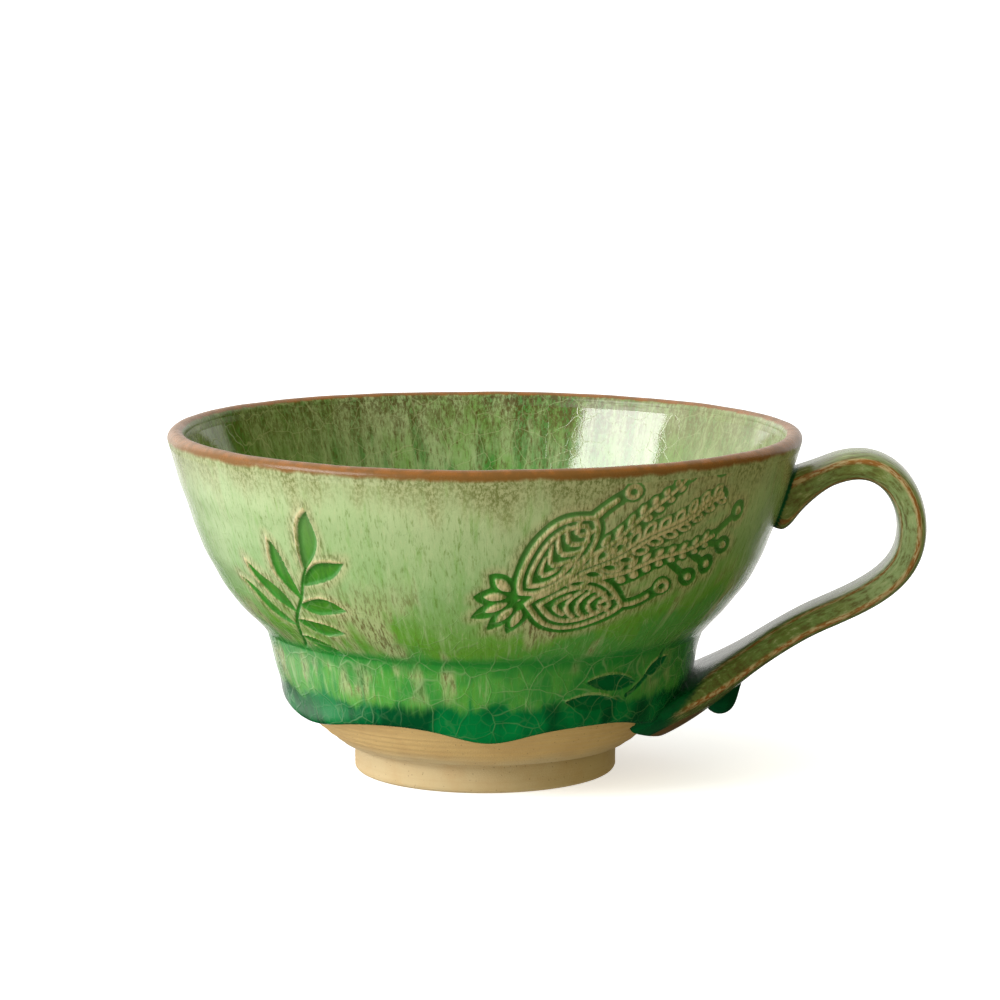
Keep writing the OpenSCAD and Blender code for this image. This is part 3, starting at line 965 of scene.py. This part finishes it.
class TeacupOuterGlaze(bpy.types.Operator):
    """Make the outer glaze coat with its carved relief and wavy rolled edge"""

    bl_idname = "teacup.outer_glaze"
    bl_label = "Outer Glaze"

    def execute(self, context):
        s = context.scene
        b, g, c = s.teacup_bowl, s.teacup_glaze, s.teacup_colours
        clay = chain(*clay_outside(b))
        side = right_of(clay)
        kernel = np.ones(5) / 5
        padded = [np.pad(side[:, k], 2, mode="edge") for k in (0, 1)]
        side = np.stack([np.convolve(row, kernel, "valid") for row in padded], axis=1)
        side = side / np.linalg.norm(side, axis=1)[:, None]
        at = run(clay)
        angle = column_angles()
        level, weight = glaze_edge(angle, g)
        edge = np.interp(level, clay[:, 1], at)
        top = np.interp(g.band_height / MM, clay[:, 1], at)
        rows = np.concatenate([2.2 * np.linspace(0, 1, 9)[:-1] ** 1.6, np.linspace(2.2, 60, 185)])
        rows = rows / rows[-1]
        run_at = edge[None, :] + (top - edge[None, :]) * rows[:, None]

        r = np.interp(run_at, at, clay[:, 0])
        z = np.interp(run_at, at, clay[:, 1])
        nr = np.interp(run_at, at, side[:, 0])
        nz = np.interp(run_at, at, side[:, 1])
        carved, plate = relief_fields(angle, r, run_at, lambda h: np.interp(h, clay[:, 1], at))

        above = run_at - edge[None, :]
        usual, roll = g.thickness / MM, g.edge_roll / MM
        rolled = np.sqrt(np.clip(1 - (1 - np.clip(above / 1.3, 0, 1)) ** 2, 0, 1))
        swell = roll * (0.75 + 0.35 * weight) * bump(above, 1.2, 2.4) + 0.25 * bump(above, 3.5, 4.0)
        azimuth = np.radians(angle)
        rings = np.sin(run_at * 0.45 + azimuth) + 0.5 * np.sin(run_at * 0.9 + 1.0)
        calm = ease(above / 4.0) * ease((top - run_at) / 3.0)
        raised = g.relief_rise / MM * ease((0.3 - plate) / 0.5)
        cut = g.carve_depth / MM * ease((0.25 - carved) / 0.7)
        thick = rolled * (usual + swell) + calm * (g.throwing_ring / MM * rings + raised - cut)
        front = round_axis(azimuth, r + nr * thick, z + nz * thick)
        keep = np.linspace(len(rows) - 1, 0, 14).round().astype(int)
        back = round_axis(azimuth, r[keep], z[keep])
        back[-1] -= 0.02
        points = np.concatenate([front[1:], back])
        fields = (("carved", carved), ("plate", plate), ("above", above))
        layers = {name: np.concatenate([field[1:], field[keep]]) for name, field in fields}
        coat = looped("outer_glaze_coat", points, layers)
        coat.data.materials.append(outer_glaze_material(c))
        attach(coat, "root")
        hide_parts("outer_glaze")
        return {"FINISHED"}


class TeacupInnerGlaze(bpy.types.Operator):
    """Make the inner glaze coat"""

    bl_idname = "teacup.inner_glaze"
    bl_label = "Inner Glaze"

    def execute(self, context):
        s = context.scene
        b, g, c = s.teacup_bowl, s.teacup_glaze, s.teacup_colours
        clay = clay_inside(b, clay_outside(b)[1])
        clay = np.concatenate([clay, [[0, clay[-1, 1]]]])
        at = run(clay)
        first = np.interp(-g.band_height / MM, -clay[:, 1], at)
        stops = np.linspace(first, at[-1], 120)
        line = along(clay, stops)
        side = right_of(line)
        side[-1] = (0, 1)
        front = line + side * (g.thickness / MM)
        front[-1, 0] = 0
        back = line[::12][::-1]
        outline = np.concatenate([[[0, line[-1, 1]]], back[back[:, 0] > 0.5], front])

        coat = turned("inner_glaze_coat", outline, 300)
        coat.data.materials.append(inner_glaze_material(c))
        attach(coat, "root")
        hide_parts("inner_glaze")
        return {"FINISHED"}


class TeacupLip(bpy.types.Operator):
    """Make the brown coat over the lip"""

    bl_idname = "teacup.lip"
    bl_label = "Brown Lip"

    def execute(self, context):
        s = context.scene
        b, g, c = s.teacup_bowl, s.teacup_glaze, s.teacup_colours
        upper = clay_outside(b)[1]
        inner = clay_inside(b, upper)
        skin = np.concatenate([upper, lip_arc(b)[1:], inner])
        at = run(skin)
        low = np.interp(g.band_height / MM, upper[:, 1], run(upper))
        high = at[len(upper) + 14] + np.interp(-g.band_height / MM, -inner[:, 1], run(inner))
        line = along(skin, np.linspace(low, high, 36))
        front = line + right_of(line) * (g.thickness / MM)
        rows = np.concatenate([front, line[::-5]])
        angle = np.radians(column_angles())
        wave = 0.05 * np.sin(9 * angle + 1) + 0.04 * np.sin(17 * angle) + 0.03 * np.sin(31 * angle + 2)
        free = np.zeros((len(rows), 1))
        free[6:30] = 1
        r = rows[:, :1] + 0 * angle
        z = rows[:, 1:] + free * wave * 0.6
        points = round_axis(angle, r, z)
        around = np.concatenate([np.linspace(0, 1, len(front)), np.linspace(1, 0, len(rows) - len(front))])
        layers = {"around": around[:, None] + 0 * angle}
        coat = looped("lip_coat", points, layers)
        coat.data.materials.append(lip_material(c))
        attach(coat, "root")
        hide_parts("rim_band")
        return {"FINISHED"}


# in millimetres: the wall's radius at the strap's lower end, and how deep the strap sinks into the wall
LOW_WALL = 43.0
SUNK = 2.1


def strap_path(b, h):
    """The strap's middle line from inside the wall at the top to inside the wall below, as x and z."""
    wall = chain(*clay_outside(b))
    lip = b.lip_radius / MM
    half = h.thickness / 2 / MM
    back = np.array([h.reach / MM - half, h.back_height / MM])
    reach = back[0] - lip
    arch = np.array([lip + 0.53 * reach, h.top / MM - half])
    high, low = h.upper_height / MM, h.lower_height / MM
    upper = np.array([np.interp(high, wall[:, 1], wall[:, 0]), high])
    lower = np.array([np.interp(low, wall[:, 1], wall[:, 0]) - 1, low])
    elbow = back - [18.3, 18]
    return chain(
        bezier([upper - [8, 4.4], upper + [2, 0.6], arch - [6.8, 0], arch], 40),
        bezier([arch, arch + [6.6, 0], back + [0, 6.6], back], 40),
        bezier([back, back - [0, 10], elbow + [9.2, 4.2], elbow], 40),
        bezier([elbow, elbow - [10.8, 5], lower + [12.2, 5.8], lower], 40),
    )


def squared(v):
    """A sine or cosine, fuller toward its ends, which squares a round section with soft corners."""
    return np.sign(v) * np.abs(v) ** 0.68


def strap_rows(b, h, grow, stop):
    """Sections of the strap along its path: a flat bar with soft corners, beaded along its outer edges."""
    path = strap_path(b, h)
    wall = chain(*clay_outside(b))
    at = run(path)
    stations = np.linspace(0, at[-1] - stop, 190)
    middle = along(path, stations)
    normal = right_of(middle)
    index = np.interp(stations, at, np.linspace(0, 1, len(path)))
    high = ease(1 - index / 0.18)
    low = ease(1 - (1 - index) / 0.22)
    low_thick = ease(1 - (1 - index) / 0.16)
    smear = ease((index - 0.86) / 0.12)

    def size(usual, upper_end, lower_end, lower_share):
        """A size along the strap, which changes toward its two ends."""
        return usual + (upper_end - usual) * high + (lower_end - usual) * lower_share

    width = size(h.width, h.upper_width, h.lower_width, low)
    thick = size(h.thickness, h.upper_thickness, h.lower_thickness, low_thick)
    half_w, half_t = width / 2 / MM + grow + 6.5 * smear, thick / 2 / MM + grow

    a = np.linspace(0, 2 * math.pi, 72, endpoint=False)
    turn = np.degrees(a)
    corner = bump(turn, 199, 10) + bump(turn, 341, 10)
    hollow = bump(turn, 176, 14) + bump(turn, 364, 14) + bump(turn, 4, 14)
    free = (ease(index / 0.12) * ease((1 - index) / 0.16))[:, None]
    y = half_w[:, None] * squared(np.cos(a)) * (1 + free * (0.02 * corner - 0.035 * hollow))
    off = half_t[:, None] * squared(np.sin(a)) * (1 + free * 0.05 * corner)
    off = off * (1 - 0.55 * smear[:, None] * (y / half_w[:, None]) ** 2)
    bend = low[:, None] * (LOW_WALL - np.sqrt(LOW_WALL ** 2 - y * y))
    x = middle[:, :1] + normal[:, :1] * off - bend
    z = middle[:, 1:] + normal[:, 1:] * off

    # the upper end is blunt below, and neither end goes through the wall
    gap = np.hypot(x, y) - np.interp(z, wall[:, 1], wall[:, 0])
    under = ease((0.16 - index) / 0.04)[:, None] * ease(np.sin(a) * 1.5)
    blunt = under * (0.7 * bump(gap, 3.0, 1.5) - 3.6 * ease((2.4 - gap) / 2.4))
    x, z = x + normal[:, :1] * blunt, z + normal[:, 1:] * blunt
    gap = np.hypot(x, y) - np.interp(z, wall[:, 1], wall[:, 0])
    depth = np.clip(-gap, 0, None)
    x = x + (depth - SUNK * np.tanh(depth / SUNK)) * np.hypot(x, y) / x

    ridge = bump(turn, 199, 13) + bump(turn, 341, 13) + 0.75 * (bump(turn, 140, 10) + bump(turn, 40, 10))
    pool = np.maximum(ease((index - 0.80) / 0.12)[:, None] * ease((8 - gap) / 6), ease((2.0 - gap) / 1.1))
    bare = ease((index - 0.92) / 0.04)[:, None] * ease((-np.sin(a) - 0.66) / 0.25)
    layers = {
        "ridge": ridge + 0 * x,
        "pool": pool,
        "travel": stations[:, None] + 0 * x,
        "share": index[:, None] + 0 * x,
        "around": np.abs(turn - 180) * 0.05 + 0 * x,
        "bare": np.maximum(bare, 0.5 * under * bump(gap, 1.8, 0.9)),
    }
    return np.stack([x, y, z], -1), layers


class TeacupHandle(bpy.types.Operator):
    """Make the clay strap and its glaze"""

    bl_idname = "teacup.handle"
    bl_label = "Handle"

    def execute(self, context):
        s = context.scene
        b, g, h, c = s.teacup_bowl, s.teacup_glaze, s.teacup_handle, s.teacup_colours
        for name, grow, stop in (("clay_strap", 0.0, 0.0), ("handle_glaze_coat", g.thickness / MM, 0.35)):
            strap = pulled(name, *strap_rows(b, h, grow, stop))
            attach(strap, "root")
            if name == "clay_strap":
                strap.data.materials.append(flashed_clay("clay_strap", c))
                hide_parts("handle")
            else:
                strap.data.materials.append(handle_glaze_material(c))
                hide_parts("handle_glaze")
        for node in ("upper_slip", "lower_slip"):
            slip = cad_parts[node]
            slip.data.materials.clear()
            slip.data.materials.append(flashed_clay(node + "_clay", c))
        return {"FINISHED"}


class TeacupDrip(bpy.types.Operator):
    """Make the glaze bead under the handle's lower end"""

    bl_idname = "teacup.drip"
    bl_label = "Glaze Drip"

    def execute(self, context):
        c = context.scene.teacup_colours
        hang = strap_path(context.scene.teacup_bowl, context.scene.teacup_handle)[-1] + [12.9, 2.7]
        fall, small, big = np.array([4.5, 5.5]), 1.1, 3.3
        reach = np.hypot(*fall)
        s_at = -small * 0.98 + np.linspace(0, 1, 40) * (reach + small * 0.98 + big * 0.995)
        radius = small + (big - small) * ease(s_at / reach)
        radius = np.where(s_at < 0, np.sqrt(np.clip(small ** 2 - s_at ** 2, 0.01, None)), radius)
        tail = np.clip(s_at - reach, 0, None)
        radius = np.where(s_at > reach, np.sqrt(np.clip(big ** 2 - tail ** 2, 0.01, None)), radius)
        path = hang + fall * (1 - s_at / reach)[:, None]
        a = np.linspace(0, 2 * math.pi, 40, endpoint=False)
        off = right_of(path)[:, None, :] * (radius[:, None] * np.sin(a))[:, :, None]
        x, z = path[:, :1] + off[:, :, 0], path[:, 1:] + off[:, :, 1]
        bead = pulled("drip_bead", np.stack([x, radius[:, None] * np.cos(a), z], -1), {})
        bead.data.materials.append(drip_material(c))
        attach(bead, "root")
        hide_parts("glaze_drip")
        return {"FINISHED"}


def studio_world():
    """Soft light by direction, cool at the left and warm at the right, before a plain white backdrop.

    What the glaze mirrors is a pale wall behind and a dim room in front.
    """
    world = bpy.data.worlds.new("studio")
    world.use_nodes = True
    n = Nodes(world.node_tree)
    way = n.add("ShaderNodeTexCoord").outputs["Generated"]

    def glow(toward, low, high, strength):
        """Light that grows as a direction turns toward a given one."""
        size = math.sqrt(sum(v * v for v in toward))
        unit = [v / size for v in toward]
        dot = n.add("ShaderNodeVectorMath", {0: way, 1: unit}, operation="DOT_PRODUCT")
        return n.step(dot.outputs["Value"], low, high, 0.0, strength)

    def total(base, parts):
        """The sum of a base strength and several glows."""
        for part in parts:
            base = n.plus(glow(*part), base)
        return base

    lit = total(0.25, [
        ((-0.85, -0.30, 0.30), -0.1, 1.0, 0.72), ((0.0, 0.0, 1.0), 0.1, 1.0, 0.64),
        ((0.0, 1.0, 0.2), 0.0, 1.0, 0.25), ((0.60, -0.78, 0.10), 0.1, 1.0, 0.26),
    ])
    mirrored = total(0.02, [((0.0, 0.88, 0.47), 0.64, 0.70, 1.0), ((-0.90, 0.25, 0.35), 0.42, 0.85, 1.15)])
    tint = n.mix(glow((0.92, -0.30, -0.05), -0.7, 0.7, 1.0), (0.94, 0.98, 1.22), (1.0, 0.91, 0.55))
    ray = n.add("ShaderNodeLightPath").outputs
    glossy, direct = ray["Is Glossy Ray"], ray["Is Camera Ray"]
    strength = n.between(direct, n.between(glossy, lit, mirrored), 1.0)
    hue = n.mix(direct, n.mix(glossy, tint, (1.0, 0.99, 0.95)), (1.0, 1.0, 1.0))
    background = n.add("ShaderNodeBackground", {"Color": hue, "Strength": strength})
    n.add("ShaderNodeOutputWorld", {0: background.outputs[0]})
    return world


class TeacupStage(bpy.types.Operator):
    """Make the pale floor, the soft studio light and the camera"""

    bl_idname = "teacup.stage"
    bl_label = "Stage"

    def execute(self, context):
        s = context.scene
        stage = s.teacup_stage
        half = stage.floor_size / 2
        mesh = bpy.data.meshes.new("floor")
        corners = [(-half, -half, 0), (half, -half, 0), (half, half, 0), (-half, half, 0)]
        mesh.from_pydata(corners, [], [(0, 1, 2, 3)])
        floor = bpy.data.objects.new("floor", mesh)
        s.collection.objects.link(floor)
        sheet = Surface("pale_floor")
        floor.data.materials.append(sheet.finish(stage.floor_colour, 0.8, specular=0.1, glow=0.55))
        for unseen in ("visible_diffuse", "visible_glossy", "visible_shadow"):
            setattr(floor, unseen, False)

        s.world = studio_world()
        for name, place, size, power, glossy in (
            ("key_window", (-0.97, -0.56, 0.66), (0.80, 0.50), 16.0, True),
            ("low_bounce", (-0.50, -0.42, -0.30), (0.60, 0.60), 3.6, False),
        ):
            light = bpy.data.lights.new(name, "AREA")
            light.shape = "RECTANGLE"
            light.size, light.size_y = size
            light.energy = power
            lamp = bpy.data.objects.new(name, light)
            s.collection.objects.link(lamp)
            lamp.location = place
            lamp.visible_glossy = glossy
            aim = np.array([0.0, 0.0, 0.04]) - np.array(place)
            yaw = math.atan2(-aim[0], aim[1])
            pitch = math.atan2(aim[2], math.hypot(aim[0], aim[1]))
            lamp.rotation_euler = (math.pi / 2 + pitch, 0, yaw)

        camera = bpy.data.objects.new("camera", bpy.data.cameras.new("camera"))
        s.collection.objects.link(camera)
        camera.location = (
            stage.distance * math.sin(stage.swing), -stage.distance * math.cos(stage.swing), stage.height
        )
        camera.rotation_euler = (math.pi / 2 - stage.tilt, 0, stage.swing - stage.pan)
        camera.data.lens = stage.lens
        camera.data.sensor_width = 36.0
        camera.data.clip_end = 1000.0
        s.camera = camera
        s.view_settings.view_transform = "Standard"
        return {"FINISHED"}


STEPS = (TeacupClay, TeacupOuterGlaze, TeacupInnerGlaze, TeacupLip, TeacupHandle, TeacupDrip, TeacupStage)


class TeacupPanel(bpy.types.Panel):
    """The teacup's steps, in the order that they are made"""

    bl_idname = "VIEW3D_PT_teacup"
    bl_label = "Teacup"
    bl_space_type = "VIEW_3D"
    bl_region_type = "UI"
    bl_category = "Teacup"

    def draw(self, context):
        for step in STEPS:
            self.layout.operator(step.bl_idname)


GROUPS = {
    "teacup_bowl": TeacupBowlSizes,
    "teacup_glaze": TeacupGlazeSizes,
    "teacup_handle": TeacupHandleSizes,
    "teacup_colours": TeacupColours,
    "teacup_stage": TeacupStageSizes,
}


def register():
    """Register every class and hang the property groups on the scene."""
    for cls in (*GROUPS.values(), *STEPS, TeacupPanel):
        bpy.utils.register_class(cls)
    for name, group in GROUPS.items():
        setattr(bpy.types.Scene, name, bpy.props.PointerProperty(type=group))


def unregister():
    """Undo register."""
    for name in GROUPS:
        delattr(bpy.types.Scene, name)
    for cls in reversed((*GROUPS.values(), *STEPS, TeacupPanel)):
        bpy.utils.unregister_class(cls)


def main():
    """Make every piece in order."""
    register()
    bpy.ops.teacup.clay()
    bpy.ops.teacup.outer_glaze()
    bpy.ops.teacup.inner_glaze()
    bpy.ops.teacup.lip()
    bpy.ops.teacup.handle()
    bpy.ops.teacup.drip()
    bpy.ops.teacup.stage()


if __name__ == "__main__":
    main()
